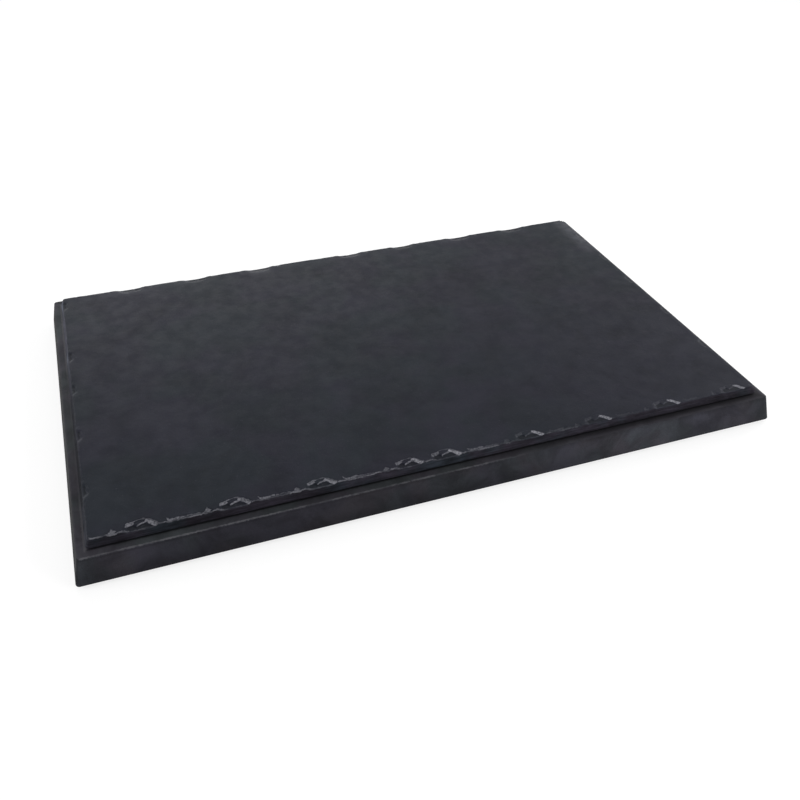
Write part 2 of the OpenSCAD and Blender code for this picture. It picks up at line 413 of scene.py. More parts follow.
def chips(x, y, settings, half):
    """At each point: depth cut by chips and hollow, paleness (partly a painted highlight), and distances (mm)
    inside the outlines.
    """
    out = {name: np.zeros_like(x) for name in ("depth", "pale", "hollow")}
    out.update({name: np.full_like(x, -FAR_AWAY) for name in ("hood", "floor", "facet", "arc")})
    cuts = {kind: sized(shares, settings, settings.draft + 2 * MM) for kind, shares in CUTS.items()}
    facets = [(sized(shares, settings), pale, False) for pale, *shares in FACETS]
    facets.append((sized(STROKE, settings), 1.0, True))
    for number, (side, shares) in enumerate(FLAKE_SHARES.items()):
        along, inward = edge_frame(side, x, y, half)
        edge = 2 * half[1 if side in ("left", "right") else 0]
        size = SIDE_SIZES[side]
        room = ROOM * settings.flake * size
        for order, share in enumerate(shares):
            seed = 100 * number + order
            grow = size * np.random.default_rng(seed).uniform(0.94, 1.06)
            place = share * edge
            close = (np.abs(along - place) < 1.8 * settings.flake) & (inward < 1.4 * settings.reach)
            near = np.flatnonzero(close)
            shift = 0.35 * MM * cloud_noise(along[near], inward[near], 3 * MM, seed, 2)
            u, v = (along[near] - place) / grow + shift, inward[near] / grow + shift
            before = order > 0 and place - shares[order - 1] * edge < room
            after = order + 1 < len(shares) and shares[order + 1] * edge - place < room
            strength = edge_strength(side, place)
            deep = size * (0.45 + 0.55 * strength if side == "front" else 0.6)
            depth = np.zeros_like(u)
            for kind, shape in cuts.items():
                if (kind == "lip" and after) or (kind == "nick" and before):
                    continue
                far = -outline_distance(u, v, shape) / MM * grow
                depth += riser(kind, far, v, settings) * deep
                if kind in out:
                    out[kind][near] = np.maximum(out[kind][near], far)
                if kind == "hood":
                    upper = (v > 0.5 * settings.reach) | (u > -0.5 * settings.flake)
                    out["arc"][near] = np.where(upper, np.maximum(out["arc"][near], far), out["arc"][near])
            for shape, pale, always in facets:
                start = shape[0][0] / settings.flake
                if (start > 0.1 and after) or (start < -1.2 and before):
                    continue
                far = -outline_distance(u, v, shape) / MM * grow
                closer = far > out["facet"][near]
                # Painted highlight: how pale each facet is drawn, by its place along the edge.
                clearness = end_strength(place) if always and side == "front" else strength
                out["facet"][near] = np.where(closer, far, out["facet"][near])
                out["pale"][near] = np.where(closer, pale * clearness, out["pale"][near])
            long, wide = (size_mm * MM for size_mm in HOLLOW_SIZE)
            hollow = np.exp(-(((u + settings.flake / 2) / long) ** 2) - (v / wide) ** 2)
            out["hollow"][near] = np.maximum(out["hollow"][near], hollow * HOLLOWS[side])
            out["depth"][near] = np.maximum(out["depth"][near], depth)
    out["depth"] += out["hollow"] * MM
    return out


def riser(kind, far, v, settings):
    """Depth that one outline adds at a distance in millimetres inside it."""
    fall = np.clip(1 - v / settings.reach, 0, 1.25)
    if kind == "hood":
        return (0.35 * smooth(-0.1, 0.8, far) + 0.15 * fall * smooth(0, 3, far)) * MM
    if kind == "step":
        return (0.5 * np.clip(far / 1.4, 0, 1) + 0.1 * fall * smooth(0, 2, far)) * MM
    if kind == "floor":
        return 0.2 * smooth(-0.1, 0.45, far) * MM
    if kind == "lip":
        return 0.45 * np.clip(far / 1.2, 0, 1) * MM
    return 0.6 * np.clip(far / 1.3, 0, 1) * MM


def edge_strength(side, place):
    """How clearly the chips of an edge stand out, in depth and in their painted highlight: less towards the
    right of the front edge.
    """
    if side == "front":
        return 1 - 0.25 * float(smooth(-0.16, -0.02, place)) - 0.6 * float(smooth(-0.03, 0.1, place))
    return 0.08


def end_strength(place):
    """How bright the painted highlight on the end facet of a front flake is: more towards the right."""
    return 0.62 + 0.28 * float(smooth(-0.12, -0.02, place)) - 0.2 * float(smooth(0.2, 0.24, place))


def side_share(points, half, side):
    """1 on one side of a rectangle and 0 on the others, with a short blend at the corners."""
    x, y = points[:, 0], points[:, 1]
    inward = np.stack([half[0] - x, half[0] + x, half[1] - y, half[1] + y])
    mine = ("right", "left", "back", "front").index(side)
    others = np.min(np.delete(inward, mine, 0), axis=0)
    return smooth(-0.5, 0.5, (others - inward[mine]) / (4 * MM))


# The plate


def plate_depth(x, y, settings, half):
    """How deep the plate's face lies below its highest plane."""
    count = 5
    long_waves = 0.5 + 0.5 * cloud_noise(x * 0.55 + 0.2 * y, y, 46 * MM, 7)
    sheets = long_waves * count + 0.15 * cloud_noise(x, y, 6 * MM, 21, 3)
    sheet = np.floor(sheets)
    riven = (sheet + smooth(0.72, 1.0, sheets - sheet)) / count
    inward = np.minimum(half[0] - np.abs(x), half[1] - np.abs(y))
    small = np.clip(cloud_noise(x + y, x - y, 2.6 * MM, 61, 2) - 0.2, 0, 1)
    nibble = 0.5 * MM * small * (1 - smooth(0, 0.9, inward / MM))
    blunt = settings.blunt - (half[0] - x + half[1] - y) / math.sqrt(2)
    nibble += 2 * MM * smooth(-0.3, 0.5, blunt / MM + 0.3 * small)
    relief = settings.riven * (0.45 * long_waves + 0.55 * riven)
    return relief + nibble + chips(x, y, settings, half)["depth"]


def make_plate(settings):
    """The plate as one dense skin: foot, leaning side, chipped edge and riven face."""
    low, high = PLATE_BOX
    half = ((high[0] - low[0]) / 2, (high[1] - low[1]) / 2)
    face_half = (half[0] - settings.draft, half[1] - settings.draft)
    top, foot = high[2], low[2]
    loop = Loop(2 * half[0], 2 * half[1], (settings.step, *[1.8 * settings.step] * 3), 6)
    wide = foot + settings.relief
    lean = settings.draft / (top - wide)
    radius = settings.corner

    def height_at(x, y):
        """Height of the plate's face."""
        return top - plate_depth(x, y, settings, face_half)

    crest = np.full(len(loop.place), top)
    for _ in range(8):
        crest = height_at(*loop.at(half, lean * (crest - wide), radius).T)
    rough = 0.5 + 0.5 * cloud_noise(loop.place * 0.4, loop.place * 0, 3 * MM, 41)

    skin = Skin()
    under = skin.add(loop.at(half, 2 * settings.relief, radius - settings.relief), foot)
    skin.cap(loop, under, [h - 12 * MM for h in half], 24 * MM, foot, upward=False)
    cove = loop.at(half, 1.5 * settings.relief, radius - settings.relief / 2)
    rings, side_steps = [skin.add(cove, foot + 0.8 * settings.relief)], 7
    skin.bridge(under, rings[0])
    for share in np.arange(side_steps + 1) / side_steps:
        height = wide + (crest - settings.arris - wide) * share
        striation = value_noise(loop.place * 0.3, height, 0.9 * MM, 51) * 0.5 + 0.5
        inset = lean * (height - wide) + 0.25 * MM * striation * rough * (share > 0)
        rings.append(skin.add(loop.at(half, inset, radius), height))
        skin.bridge(rings[-2], rings[-1])
    side_faces, side_rings = len(skin.faces), rings[1:]
    crest_inset = lean * (crest - wide)
    softened = 0.3 * settings.arris
    rings.append(skin.add(loop.at(half, crest_inset + softened, radius), crest - softened))
    skin.bridge(rings[-2], rings[-1])
    arris_ring = rings[-1]

    band, band_steps = settings.reach + 4 * MM, 28
    reaches = [settings.arris, *np.arange(0.9, band_steps) * band / band_steps, band]
    for reach in reaches:
        inset = settings.draft + reach - (settings.draft - crest_inset) * (1 - reach / band)
        plan = loop.at(half, inset, max(radius - reach, 0.3 * MM))
        rings.append(skin.add(plan, height_at(*plan.T)))
        skin.bridge(rings[-2], rings[-1])
    inner_half = [h - band - settings.face_step for h in face_half]
    skin.cap(loop, rings[-1], inner_half, settings.face_step, height_at)

    piece = skin.build("slate_plate_skin")
    points = get_points(piece)
    rim = np.full(len(points), FAR_AWAY)
    for numbers in rings[1:]:
        rim[numbers] = np.linalg.norm(points[numbers] - points[arris_ring], axis=1) / MM
    wall = np.zeros(len(points))
    wall[np.concatenate(side_rings)] = 1
    set_values(piece, {"rim": rim, "wall": wall, **plate_tones(points, settings, half, face_half)})
    kinds = np.zeros(len(skin.faces), np.int32)
    kinds[:side_faces] = 1
    piece.data.polygons.foreach_set("material_index", kinds)
    shade(piece, 32)
    return piece


def plate_tones(points, settings, half, face_half):
    """What the plate's materials need to know at each point: chips, and painted light and shade that vary
    along its sides.

    Stretches along the sides are in metres from the middle, and those from an edge in millimetres.
    """
    x, y, z = points.T
    marks = chips(x, y, settings, face_half)
    front, left = side_share(points, half, "front"), side_share(points, half, "left")
    right = smooth(0.0, 0.16, x)
    on_arris = 1 - 0.25 * smooth(0, 0.03, x) - 0.65 * right
    # Painted light on the split sides: the left side much lighter, most towards the back, and the front side
    # a little lighter towards the right.
    on_front = 0.35 + 0.3 * smooth(-0.13, -0.05, x)
    on_left = 1.5 * (1 - smooth(-0.12, -0.1, y)) + 0.9 * smooth(-0.08, -0.02, y)
    on_left += smooth(-0.02, 0.04, y) + 3.8 * smooth(0.045, 0.06, y)
    from_right, from_back = (x - face_half[0]) / MM, (y - face_half[1]) / MM
    # A paler strip along the right side towards the back.
    paler_right_strip = 0.17 * smooth(-18, -3, from_right) * smooth(0.065, 0.11, y)
    return {
        **{name: marks[name] for name in ("hood", "floor", "facet", "arc", "pale")},
        # Height above the foot, which sets the painted shade along it: a taller band on the right, a lower
        # one away from the front.
        "foot": (z - PLATE_BOX[0][2]) / MM * (1 - 0.55 * right) + 3 * (1 - front),
        # How strong the painted highlight on the upper edge is: strongest at the front and weaker to the
        # right.
        "fade": (0.35 + 0.65 * front - 0.23 * left) * on_arris,
        # The front right, where the face has a painted violet reflection and the painted shade at the foot is
        # weaker.
        "right": right * (1 - smooth(-0.06, 0.06, y)),
        "left": left,
        "painted_light_shade": 1 + left * on_left + front * on_front,
        # Paler strip along the right side, and painted light in the flakes' hollows, most along the back.
        "paler_strip_and_lit_hollows": paler_right_strip + 0.02 * smooth(-4, -1, from_right) + 0.06 * marks["hollow"],
        # Painted light: the face lighter within 14 mm of the back edge.
        "painted_back_light": 1 + 0.13 * smooth(-14, -5, from_back),
    }


# The plinth

# Ribs under the deck: thickness, depth and the place of the cross ribs
RIB, RIB_DEPTH, RIB_PLACE = 2.4 * MM, 10 * MM, 88 * MM
# How far the bosses and their webs end above the rim
BOSS_GAP, WEB_GAP = 1.5 * MM, 4.5 * MM
# Radius of a boss, and radius and depth of its socket
BOSS, SOCKET, SOCKET_DEPTH = 10 * MM, 3 * MM, 11 * MM
# Points round a boss and a socket
TURNS = 64


def drafted_skin(name, box_half, low, high, lean, corner, rounds, step, uneven=None, extra=()):
    """A block with leaning sides. rounds holds the rounding of its two edges, extra the loops on its top."""
    loop = Loop(2 * box_half[0], 2 * box_half[1], [step] * 4, 8)
    wide = low + rounds[0]
    quarter = np.linspace(0, math.pi / 2, 5)
    heights = list(low + rounds[0] * (1 - np.cos(quarter)))
    insets = list(rounds[0] * (1 - np.sin(quarter)))
    middle = np.linspace(wide, high - rounds[1], 8)[1:-1]
    heights += list(middle)
    insets += [0.0] * len(middle)
    heights += list(high - rounds[1] * (1 - np.sin(quarter)))
    insets += list(rounds[1] * (1 - np.cos(quarter)))
    skin = Skin()
    previous = None
    for height, inset in zip(heights, insets):
        radius = max(corner - inset, 0.2 * MM)
        level = np.full(len(loop.place), height)
        shift = lean * max(height - wide, 0) + inset
        if uneven:
            plan = loop.at(box_half, shift, radius)
            sink = uneven(plan, height)
            shift, level = shift + sink, level - 0.7 * sink
        ring = skin.add(loop.at(box_half, shift, radius), level)
        if previous is None:
            skin.cap(loop, ring, [h - np.max(shift) - 6 * MM for h in box_half], 20 * MM, low, upward=False)
        else:
            skin.bridge(previous, ring)
        previous = ring
    for more in extra:
        ring = skin.add(loop.at(box_half, shift + more, max(corner - more, 0.2 * MM)), high)
        skin.bridge(previous, ring)
        previous = ring
    inner = [h - np.max(shift) - max(extra, default=0) - 5 * MM for h in box_half]
    skin.cap(loop, previous, inner, 20 * MM, high)
    return skin.build(name)


def prism(name, outline, length, turn, place):
    """A bar along X with that outline across it, turned about Z and moved to its place."""
    count = len(outline)
    points = [(end * length / 2, a, b) for end in (-1, 1) for a, b in outline]
    faces = [[i, (i + 1) % count, count + (i + 1) % count, count + i] for i in range(count)]
    faces += [list(range(count))[::-1], [count + i for i in range(count)]]
    return solid(name, points, faces, Matrix.Translation(place) @ Matrix.Rotation(turn, 4, "Z"))


def lathe(name, profile, place, sides):
    """A solid of revolution about Z. profile runs from the axis below to the axis above."""
    turns = np.linspace(0, 2 * math.pi, sides, endpoint=False)
    points, faces = [], []
    for radius, height in profile[1:-1]:
        points += [(radius * math.cos(t), radius * math.sin(t), height) for t in turns]
    rings = len(profile) - 2
    for ring in range(rings - 1):
        for i in range(sides):
            a, b = ring * sides + i, ring * sides + (i + 1) % sides
            faces.append([a, b, b + sides, a + sides])
    points += [(0, 0, profile[0][1]), (0, 0, profile[-1][1])]
    last = (rings - 1) * sides
    for i in range(sides):
        faces.append([rings * sides, (i + 1) % sides, i])
        faces.append([rings * sides + 1, last + i, last + (i + 1) % sides])
    return solid(name, points, faces, Matrix.Translation(place))


def cut(piece, other):
    """Takes the second solid away from the first, and drops it."""
    modifier = piece.modifiers.new("cut", "BOOLEAN")
    modifier.operation, modifier.solver, modifier.object = "DIFFERENCE", "MANIFOLD", other
    graph = bpy.context.evaluated_depsgraph_get()
    mesh = bpy.data.meshes.new_from_object(piece.evaluated_get(graph))
    if not mesh.polygons:
        raise RuntimeError(f"the cut by {other.name} left nothing of {piece.name}")
    mesh.materials.clear()
    piece.modifiers.clear()
    piece.data = mesh
    bpy.data.objects.remove(other)
    return piece


def foot_places():
    """The middle of each foot in plan, from the frame."""
    boxes = [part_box(name) for name in FEET]
    return [((low[0] + high[0]) / 2, (low[1] + high[1]) / 2) for low, high in boxes]


def rib_outline(depth, top):
    """Section of a rib: wider at its root, with a small radius where it meets the deck."""
    edge, chamfer, blend = RIB / 2, 0.3 * MM, 1.2 * MM
    root = edge + 0.5 * MM
    arc = [
        (root + blend * (1 - math.sin(a)), top - blend * (1 - math.cos(a)))
        for a in np.linspace(math.pi / 2, 0, 5)
    ]
    right = [(edge - chamfer, top - depth), (edge, top - depth + chamfer), *arc, (root + blend, top + MM)]
    return right + [(-a, b) for a, b in reversed(right)]


def make_plinth(settings):
    """The plinth: a drafted block, hollow below, with ribs, bosses and foot sockets."""
    low, high = PLINTH_BOX
    half = (high[0], high[1])
    lean = settings.draft / (high[2] - low[2] - settings.rim)

    def nicks(plan, height):
        """How far the upper edge is set back by wear."""
        front = side_share(plan, half, "front")
        near = smooth(high[2] - 1.8 * MM, high[2] - 0.4 * MM, height) * (0.25 + 0.75 * front)
        along = plan[:, 0] + plan[:, 1]
        small = np.clip(cloud_noise(along, height + 0 * along, 2.2 * MM, 71, 3) - 0.25, 0, 1)
        waves = 0.5 + 0.5 * value_noise(along, 0 * along, 14 * MM, 73)
        return near * (0.5 * MM * small + 0.1 * MM * waves)

    rounds, extra = (settings.rim, settings.arris), (1 * MM, 3 * MM, 5 * MM, 8 * MM)
    body = drafted_skin(
        "plinth_skin", half, low[2], high[2], lean, settings.corner, rounds, 0.9 * MM, nicks, extra
    )
    cut(body, hollow_cutter(settings, half, lean))
    face = low[2] + BOSS_GAP
    mouth, end = SOCKET + 0.5 * MM, face + SOCKET_DEPTH
    profile = [(0, face - MM), (mouth, face - MM), (mouth, face), (SOCKET, face + 0.5 * MM)]
    profile += [(SOCKET, end), (0, end + 0.6 * MM)]
    for x, y in foot_places():
        cut(body, lathe("socket", profile, (x, y, 0), TURNS))
    cut(body, groove_cutter(high[2]))
    set_values(body, plinth_tones(get_points(body), half, lean))
    centres = np.empty(len(body.data.polygons) * 3, np.float32)
    body.data.polygons.foreach_get("center", centres)
    body.data.polygons.foreach_set("material_index", (centres[2::3] > high[2] - 0.2 * MM).astype(np.int32))
    shade(body, 32)
    return body


def hollow_cutter(settings, half, lean):
    """The space under the deck, less the ribs, webs and bosses that stand in it."""
    low, high = PLINTH_BOX
    ceiling = high[2] - settings.deck
    inner_half = [h - settings.skirt + lean * 4 * MM for h in half]
    fine_rim = (0.01 * MM, 2 * MM)
    hollow = drafted_skin("hollow", inner_half, low[2] - 2 * MM, ceiling, lean, 6 * MM, fine_rim, 6 * MM)
    rib = rib_outline(RIB_DEPTH, ceiling)
    web = rib_outline(ceiling - low[2] - WEB_GAP, ceiling)
    inside = [prism("long_rib", rib, 2 * half[0], 0, (0, 0, 0))]
    for side in (-1, 1):
        inside.append(prism("cross_rib", rib, 2 * half[1], math.pi / 2, (side * RIB_PLACE, 0, 0)))
    face = low[2] + BOSS_GAP
    profile = [(0, face), (BOSS - MM, face), (BOSS - 0.5 * MM, face + 0.5 * MM), (BOSS, ceiling - 1.5 * MM)]
    profile += [(BOSS + 0.4 * MM, ceiling - 0.5 * MM), (BOSS + 1.6 * MM, ceiling)]
    profile += [(BOSS + 1.6 * MM, ceiling + MM), (0, ceiling + MM)]
    for x, y in foot_places():
        out_x, out_y = half[0] - abs(x), half[1] - abs(y)
        middle_x, middle_y = (p + math.copysign(out / 2, p) for p, out in ((x, out_x), (y, out_y)))
        inside.append(prism("web", web, out_x, 0, (middle_x, y, 0)))
        inside.append(prism("web", web, out_y, math.pi / 2, (x, middle_y, 0)))
        inside.append(lathe("boss", profile, (x, y, 0), TURNS))
    for piece in inside:
        cut(hollow, piece)
    return hollow


def plinth_tones(points, half, lean):
    """What the plinth's materials need to know at each point, as for the plate, with painted light and shade
    for its walls and ledge.
    """
    x, y, z = points.T
    low, high = PLINTH_BOX
    upper_half = [h - lean * (high[2] - low[2] - 2 * MM) for h in high[:2]]
    inward = np.minimum(upper_half[0] - np.abs(x), upper_half[1] - np.abs(y))
    rim = np.hypot(inward - 0.2 * MM, z - high[2] + 0.1 * MM) / MM
    front, left = side_share(points, half, "front"), side_share(points, half, "left")
    plate_half = PLATE_BOX[1]
    # How strong the painted highlight on the upper edge and the darker band under it are: strongest at the
    # front left, fading out towards the right.
    fade = 0.72 - 0.2 * smooth(-0.17, -0.1, x) - 0.52 * smooth(0.02, 0.06, x)
    # Painted light and shade on the ledge: the front ledge darker towards the right, the left ledge lighter
    # towards the back.
    on_front = 0.1 - 0.28 * smooth(-0.17, -0.12, x) - 0.2 * smooth(0.02, 0.06, x)
    on_front -= 0.06 * smooth(0.12, 0.2, x)
    on_left = 0.15 + 0.63 * smooth(-0.03, 0.1, y)
    # Darker towards the bottom, except at the right end.
    low_down = (1 - smooth(3, 13, (z - low[2]) / MM)) * (1 - smooth(0.08, 0.2, x))
    # Painted shade: the upper edge darker towards the right, where it catches the light.
    near_rim = (1 - smooth(0.6, 1.6, rim)) * smooth(0.03, 0.12, x)
    # Painted light: the front wall lighter at its left end and in a patch towards the right.
    rubbed_and_painted_light = 0.35 * (1 - smooth(-0.25, -0.2, x)) + 0.35 * smooth(0.11, 0.14, x) * (1 - smooth(0.16, 0.19, x))
    # Painted light and shade: the left wall darker, the front wall lighter towards the right.
    wall = 1 - 0.55 * left + front * (rubbed_and_painted_light - 0.06 + 0.32 * smooth(-0.02, 0.12, x))
    return {
        "rim": rim,
        "fade": (0.15 + 0.85 * front) * fade,
        "foot": np.maximum(np.abs(x) - plate_half[0], np.abs(y) - plate_half[1]) / MM,
        "left": left,
        "right": smooth(0.0, 0.12, x),
        # Painted light: where a light line lies on the left ledge along the plate's foot, strongest towards
        # the back.
        "lit": left * (0.45 - 0.32 * smooth(-0.12, -0.09, y) + 0.7 * smooth(0.02, 0.07, y)),
        "painted_light_shade": 1 + front * on_front + left * on_left,
        "low": wall - 0.3 * low_down - 0.3 * near_rim,
    }


def groove_cutter(top):
    """A flat ring that cuts the groove for the bead, a little wider than the bead on both sides."""
    low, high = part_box("adhesive_bead")
    gap, width = 0.6 * MM, 8 * MM
    fine = (0.01 * MM, 0.01 * MM)
    outer_half = (high[0] + gap, high[1] + gap)
    inner_half = [h - width for h in outer_half]
    ring = drafted_skin("groove", outer_half, low[2], top + MM, 0, 14 * MM, fine, 8 * MM)
    core = drafted_skin("core", inner_half, low[2] - MM, top + 2 * MM, 0, 6 * MM, fine, 8 * MM)
    return cut(ring, core)


# The feet


def make_foot(name, sides):
    """A push-in foot: rounded head with fine rings under it, and a barbed stem."""
    low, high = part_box(name)
    x, y = (low[0] + high[0]) / 2, (low[1] + high[1]) / 2
    radius, base, top = (high[0] - low[0]) / 2, low[2], high[2]
    head, rounding, shoulder = base + 3 * MM, 0.8 * MM, 0.3 * MM
    dimple, groove, start = base + 0.3 * MM, base + 0.22 * MM, 3.4 * MM
    profile = [(0, dimple), (2.2 * MM, dimple), (2.6 * MM, base), (start, base)]
    for _ in range(2):
        profile += [(start + 0.25 * MM, groove), (start + 0.55 * MM, groove)]
        profile += [(start + 0.8 * MM, base), (start + 1.3 * MM, base)]
        start += 1.3 * MM
    for turn in np.linspace(0, math.pi / 2, 7):
        profile.append((radius - rounding * (1 - math.sin(turn)), base + rounding * (1 - math.cos(turn))))
    for turn in np.linspace(0, math.pi / 2, 4):
        profile.append((radius - shoulder * (1 - math.cos(turn)), head - shoulder * (1 - math.sin(turn))))
    core, barb = 2.35 * MM, 2.95 * MM
    profile += [(core + 0.5 * MM, head), (core, head + 0.4 * MM)]
    tooth = (top - head) / 4
    for number in range(1, 4):
        middle = head + number * tooth
        profile += [(core, middle - tooth * 0.45), (barb, middle - 0.1 * MM), (barb, middle + 0.1 * MM)]
        profile += [(core, middle + tooth * 0.4)]
    profile += [(core, top - 0.5 * MM), (core - 0.5 * MM, top), (0, top)]
    piece = lathe(name + "_rubber", profile, (x, y, 0), sides)
    shade(piece, 35)
    return piece


# Materials

# Noise is given in waves per metre, and most of it lies between 0.3 and 0.7


def feed(tree, source, target):
    """Feeds a socket from another one, from a node's first output or from a plain value."""
    if isinstance(source, bpy.types.Node):
        source = source.outputs[0]
    if isinstance(source, bpy.types.NodeSocket):
        tree.links.new(source, target)
    else:
        target.default_value = source


def add_node(tree, kind, inputs, **options):
    """A new node. inputs holds what feeds its sockets, by name or place, and options its other settings."""
    node = tree.nodes.new("ShaderNode" + kind)
    for name, value in options.items():
        setattr(node, name, value)
    for name, source in inputs.items():
        feed(tree, source, node.inputs[name])
    return node


def blank_tree(block, output):
    """The block's node tree with nothing but its output node, and the socket for the surface."""
    block.use_nodes = True
    block.node_tree.nodes.clear()
    return block.node_tree, add_node(block.node_tree, output, {}).inputs["Surface"]


class Nodes:
    """Short calls for building one material's nodes."""

    def __init__(self, name):
        self.material = bpy.data.materials.new(name)
        self.tree, surface = blank_tree(self.material, "OutputMaterial")
        self.shader = self.add("BsdfPrincipled", {})
        feed(self.tree, self.shader, surface)
        self.place = self.add("TexCoord", {}).outputs["Object"]

    def add(self, kind, inputs, **options):
        """A new node in the material's tree."""
        return add_node(self.tree, kind, inputs, **options)

    def noise(self, scale, detail=4.0, roughness=0.55, stretch=(1, 1, 1), offset=(0, 0, 0), distortion=0.0):
        """Noise of that many waves per metre."""
        place = self.add("Mapping", {"Vector": self.place, "Scale": stretch, "Location": offset})
        inputs = {"Vector": place, "Scale": scale, "Detail": detail, "Roughness": roughness}
        return self.add("TexNoise", {**inputs, "Distortion": distortion}).outputs["Fac"]

    def ramp(self, value, low, high, start=0.0, end=1.0):
        """Maps low..high to start..end, held at both ends."""
        inputs = {"Value": value, "From Min": low, "From Max": high, "To Min": start, "To Max": end}
        return self.add("MapRange", inputs, interpolation_type="SMOOTHSTEP").outputs["Result"]

    def maths(self, operation, a, b):
        """One sum of two values."""
        return self.add("Math", {0: a, 1: b}, operation=operation).outputs[0]

    def product(self, first, *others):
        """Several values multiplied."""
        for other in others:
            first = self.maths("MULTIPLY", first, other)
        return first

    def larger(self, a, b):
        """The larger of two values."""
        return self.maths("MAXIMUM", a, b)

    def ragged(self, waves, reach):
        """Noise that makes a distance uneven by up to that reach."""
        return self.ramp(self.noise(waves, 3, 0.6), 0.25, 0.75, -reach, reach)

    def distance(self, name, ragged):
        """One of the stored distances, made uneven."""
        return self.maths("ADD", self.value(name), ragged)

    def mix(self, factor, a, b, blend="MIX"):
        """Mixes two colours."""
        a, b = (c if isinstance(c, bpy.types.NodeSocket) else (*c, 1) for c in (a, b))
        inputs = {"Factor": factor, "A": a, "B": b}
        return self.add("Mix", inputs, data_type="RGBA", blend_type=blend).outputs["Result"]

    def tints(self, mask, colour, first, second):
        """A colour in two tints, as the mask says."""
        return self.mix(mask, scaled(colour, 1, first), scaled(colour, 1, second))

    def shaded(self, colour, *factors):
        """A colour multiplied by several values."""
        return self.mix(1.0, colour, self.product(*factors), "MULTIPLY")

    def value(self, name):
        """One of the values stored at the points."""
        return self.add("Attribute", {}, attribute_name=name).outputs["Fac"]

    def bump(self, height, distance, strength=1.0, under=None):
        """Bends the normal by a height, on top of another bump."""
        inputs = {"Height": height, "Distance": distance, "Strength": strength}
        if under is not None:
            inputs["Normal"] = under
        return self.add("Bump", inputs).outputs[0]

    def finish(self, colour, roughness, normal, specular):
        """Sets the shader's sockets and returns the material."""
        inputs = {"Base Color": colour, "Roughness": roughness, "Normal": normal}
        for name, source in {**inputs, "Specular IOR Level": specular}.items():
            feed(self.tree, source, self.shader.inputs[name])
        return self.material


def scaled(colour, factor, tint=(1, 1, 1)):
    """A colour made lighter or darker, with a tint."""
    return tuple(c * factor * t for c, t in zip(colour, tint))


def broken_rim(n, ragged, outside, least, most):
    """Paleness of the plate's upper edge, partly the paler broken edge and partly a painted highlight, broken
    along its length and weaker inside the flakes.
    """
    rim = n.ramp(n.distance("rim", ragged), 0.3, 0.75, 1, 0)
    broken = n.ramp(n.noise(130, 4, 0.7, offset=(4, 4, 1)), 0.42, 0.6, least, most)
    return n.product(rim, n.product(broken, outside), n.value("fade"))


def breaks(n):
    """How pale the breaks are (partly a painted highlight) and how dark the pockets are (painted shade), from
    ragged distances cut into bands.
    """
    ragged = n.ragged(520, 0.3)
    spots = n.ramp(n.noise(750, 3, 0.65, offset=(9, 4, 2)), 0.34, 0.6, 0.3, 1)
    on_face = n.ramp(n.value("wall"), 0, 1, 1, 0)
    facet = n.product(n.ramp(n.distance("facet", ragged), -0.1, 0.3), n.value("pale"), spots, on_face)
    hood, arc = n.distance("hood", ragged), n.distance("arc", ragged)
    # Painted highlight along the upper part of each hood outline.
    line = n.product(n.ramp(arc, 0, 0.2), n.ramp(arc, 0.35, 0.7, 1, 0), n.value("pale"), on_face, 0.8)
    rim = broken_rim(n, ragged, n.ramp(hood, -0.2, 0.4, 1, 0.35), 0.12, 0.42)
    # Painted shade: darker pockets on the floors of the flakes.
    pocket_shade = n.product(n.ramp(n.value("floor"), -0.1, 0.3), on_face, n.ramp(n.value("rim"), 0.5, 1.2), 0.6)
    return n.larger(n.larger(facet, line), rim), pocket_shade


def slate_material(settings):
    """Matt charcoal slate: cloudy colour, mineral specks, split grain and pale broken edges, with painted
    highlights on the breaks, painted shade in the pockets, painted light near the back edge and in the
    hollows, and a painted violet reflection at the front right.
    """
    n = Nodes("Charcoal slate")
    base, fresh = tuple(settings.colour), tuple(settings.pale)
    # Painted reflection: a violet cast towards the front right, over random hue patches.
    hue = n.larger(n.ramp(n.noise(19, 3, offset=(3, 1, 0)), 0.4, 0.62), n.product(n.value("right"), 0.85))
    tint = n.tints(hue, scaled(base, 1.02), (0.9, 1.01, 1.01), (1.02, 0.96, 1.1))
    clouds = n.ramp(n.noise(26, 6, 0.6, distortion=0.6), 0.3, 0.72, 0.82, 1.18)
    blots = n.ramp(n.noise(48, 2, 0.5, offset=(7, 2, 0)), 0.3, 0.4, 0.86, 1.0)
    grain = n.ramp(n.noise(1500, 3, 0.7), 0.25, 0.75, 0.8, 1.2)
    # Cloudy colour, made lighter near the back edge by painted light.
    colour = n.shaded(tint, clouds, blots, grain, n.value("painted_back_light"))
    specks = n.ramp(n.noise(900, 2, 0.5, offset=(5, 5, 5)), 0.68, 0.76, 0, 0.5)
    colour = n.mix(specks, colour, scaled(base, 3.2))
    mottle = n.ramp(n.noise(140, 4, 0.65, offset=(1, 6, 2)), 0.32, 0.68, 0.55, 1.25)
    # Paler strip on the right, and painted light in the flakes' hollows.
    colour = n.mix(n.product(n.value("paler_strip_and_lit_hollows"), mottle), colour, fresh)
    pale, pocket_shade = breaks(n)
    colour = n.mix(pale, n.mix(pocket_shade, colour, scaled(base, 0.3)), fresh)
    rough = n.ramp(n.noise(90, 5, 0.6), 0.3, 0.7, 0.48, 0.6)
    waves = n.bump(n.noise(55, 6, 0.6, (1, 1.3, 1)), 0.5 * MM, 0.3)
    splits = n.bump(n.noise(260, 5, 0.65, (1, 1, 2.5)), 0.22 * MM, 0.5, waves)
    fine = n.bump(n.noise(1500, 3, 0.7), 0.05 * MM, 0.6, splits)
    n.shader.inputs["Specular Tint"].default_value = (0.72, 0.84, 1.0, 1)
    return n.finish(colour, rough, fine, 0.06)


